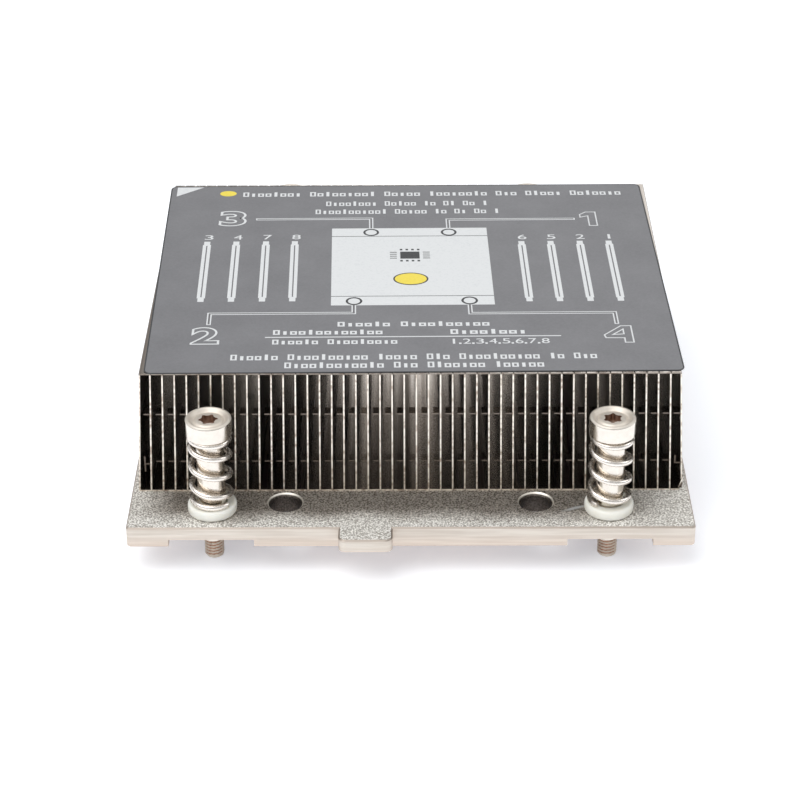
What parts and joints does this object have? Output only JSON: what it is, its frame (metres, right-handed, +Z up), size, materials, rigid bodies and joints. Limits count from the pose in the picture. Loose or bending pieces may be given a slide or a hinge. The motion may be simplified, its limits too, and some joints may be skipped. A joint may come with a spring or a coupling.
{
  "type": "passive server cpu heatsink",
  "caption": "Passive processor cooler: a stack of folded sheet fins on a thick plate, with spring-loaded captive screws at its corners and a dark label on top.",
  "frame": {"origin": "centre of the contact pad's face, midway between the four screws", "axes": "+X to the right across the fins, +Y to the rear, where the screws stand closer together, +Z up from the contact pad to the fins' tops"},
  "size_m": [0.114, 0.1232, 0.0383],
  "materials": {
    "base_plate": "blasted top, milled edges",
    "fin_sheet": "bright rolled sheet",
    "label_film": "matte printed film",
    "plated_screw": "bright nickel plate on steel",
    "spring_wire": "bright plated wire",
    "ring_steel": "dark spring steel",
    "nylon": "milky natural nylon"
  },
  "bodies": {
    "heatsink": {"base_plate": "base_plate", "top_label": "label_film", "nylon_washers": "nylon", "end_fins": "fin_sheet", "fin_02": "fin_sheet", "fin_03": "fin_sheet", "fin_04": "fin_sheet", "fin_05": "fin_sheet", "fin_06": "fin_sheet", "fin_07": "fin_sheet", "fin_08": "fin_sheet", "fin_09": "fin_sheet", "fin_10": "fin_sheet", "fin_11": "fin_sheet", "fin_12": "fin_sheet", "fin_13": "fin_sheet", "fin_14": "fin_sheet", "fin_15": "fin_sheet", "fin_16": "fin_sheet", "fin_17": "fin_sheet", "fin_18": "fin_sheet", "fin_19": "fin_sheet", "fin_20": "fin_sheet", "fin_21": "fin_sheet", "fin_22": "fin_sheet", "fin_23": "fin_sheet", "fin_24": "fin_sheet", "fin_25": "fin_sheet", "fin_26": "fin_sheet", "fin_27": "fin_sheet", "fin_28": "fin_sheet", "fin_29": "fin_sheet", "fin_30": "fin_sheet", "fin_31": "fin_sheet", "fin_32": "fin_sheet", "fin_33": "fin_sheet", "fin_34": "fin_sheet", "fin_35": "fin_sheet", "fin_36": "fin_sheet", "fin_37": "fin_sheet", "fin_38": "fin_sheet", "fin_39": "fin_sheet", "fin_40": "fin_sheet", "fin_41": "fin_sheet", "fin_42": "fin_sheet", "fin_43": "fin_sheet", "fin_44": "fin_sheet", "fin_45": "fin_sheet", "front_left_spring": "spring_wire", "front_right_spring": "spring_wire", "rear_left_spring": "spring_wire", "rear_right_spring": "spring_wire"},
    "front_left_carrier": {"front_left_retaining_ring": "ring_steel"},
    "front_left_fastener": {"front_left_screw": "plated_screw"},
    "front_right_carrier": {"front_right_retaining_ring": "ring_steel"},
    "front_right_fastener": {"front_right_screw": "plated_screw"},
    "rear_left_carrier": {"rear_left_retaining_ring": "ring_steel"},
    "rear_left_fastener": {"rear_left_screw": "plated_screw"},
    "rear_right_carrier": {"rear_right_retaining_ring": "ring_steel"},
    "rear_right_fastener": {"rear_right_screw": "plated_screw"}
  },
  "joints": [
    {"name": "front_left_press", "type": "slide", "parent": "heatsink", "child": "front_left_carrier", "axis": [0, 0, 1], "range_m": [-0.005, 0], "stiffness_N_per_m": 16000, "springref_m": 0.0005, "deforming": ["front_left_spring"]},
    {"name": "front_left_turn", "type": "hinge", "parent": "front_left_carrier", "child": "front_left_fastener", "pos_m": [-0.04, -0.0525, 0.02], "axis": [0, 0, 1], "continuous": true},
    {"name": "front_right_press", "type": "slide", "parent": "heatsink", "child": "front_right_carrier", "axis": [0, 0, 1], "range_m": [-0.005, 0], "stiffness_N_per_m": 16000, "springref_m": 0.0005, "deforming": ["front_right_spring"]},
    {"name": "front_right_turn", "type": "hinge", "parent": "front_right_carrier", "child": "front_right_fastener", "pos_m": [0.04, -0.0525, 0.02], "axis": [0, 0, 1], "continuous": true},
    {"name": "rear_left_press", "type": "slide", "parent": "heatsink", "child": "rear_left_carrier", "axis": [0, 0, 1], "range_m": [-0.005, 0], "stiffness_N_per_m": 16000, "springref_m": 0.0005, "deforming": ["rear_left_spring"]},
    {"name": "rear_left_turn", "type": "hinge", "parent": "rear_left_carrier", "child": "rear_left_fastener", "pos_m": [-0.028, 0.0525, 0.02], "axis": [0, 0, 1], "continuous": true},
    {"name": "rear_right_press", "type": "slide", "parent": "heatsink", "child": "rear_right_carrier", "axis": [0, 0, 1], "range_m": [-0.005, 0], "stiffness_N_per_m": 16000, "springref_m": 0.0005, "deforming": ["rear_right_spring"]},
    {"name": "rear_right_turn", "type": "hinge", "parent": "rear_right_carrier", "child": "rear_right_fastener", "pos_m": [0.028, 0.0525, 0.02], "axis": [0, 0, 1], "continuous": true}
  ]
}
